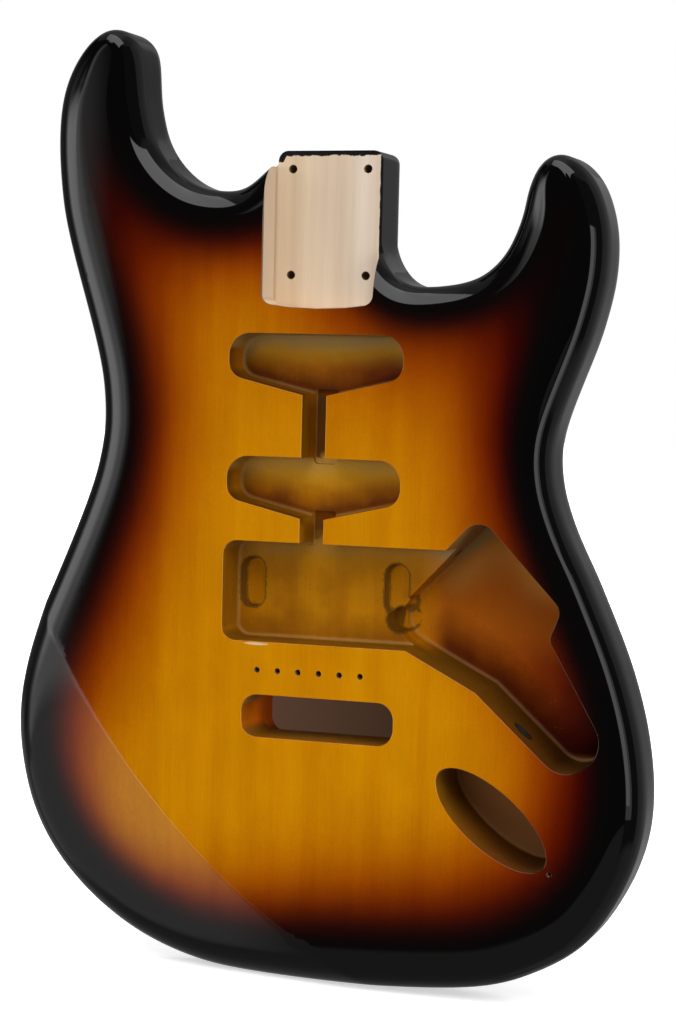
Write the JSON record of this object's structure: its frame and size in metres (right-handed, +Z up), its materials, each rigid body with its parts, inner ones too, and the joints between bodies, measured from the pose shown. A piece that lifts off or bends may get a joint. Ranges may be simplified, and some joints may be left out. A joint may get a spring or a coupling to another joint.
{
  "type": "electric guitar body",
  "caption": "Bare double-cutaway solid guitar body with routed neck pocket, pickup, control, jack and tremolo cavities, glossy sunburst finish.",
  "frame": {"origin": "centre of the four neck bolt holes on the floor of the neck pocket", "axes": "+Z up along the body's centre line towards the neck, +X towards the treble side with the control cavity, +Y from the front face into the wood, so the front faces -Y"},
  "size_m": [0.3263, 0.044, 0.462],
  "materials": {
    "sunburst_dark": "gloss lacquer, black edge of the burst",
    "sunburst_amber": "gloss lacquer, amber centre of the burst, bare wood in the neck pocket",
    "sunburst_red": "gloss lacquer, red and black zones of the burst"
  },
  "bodies": {
    "root": {"bass_horn_plank": "sunburst_dark", "bass_bout_plank": "sunburst_dark", "bass_plank": "sunburst_amber", "centre_plank": "sunburst_amber", "treble_plank": "sunburst_red"}
  },
  "joints": []
}
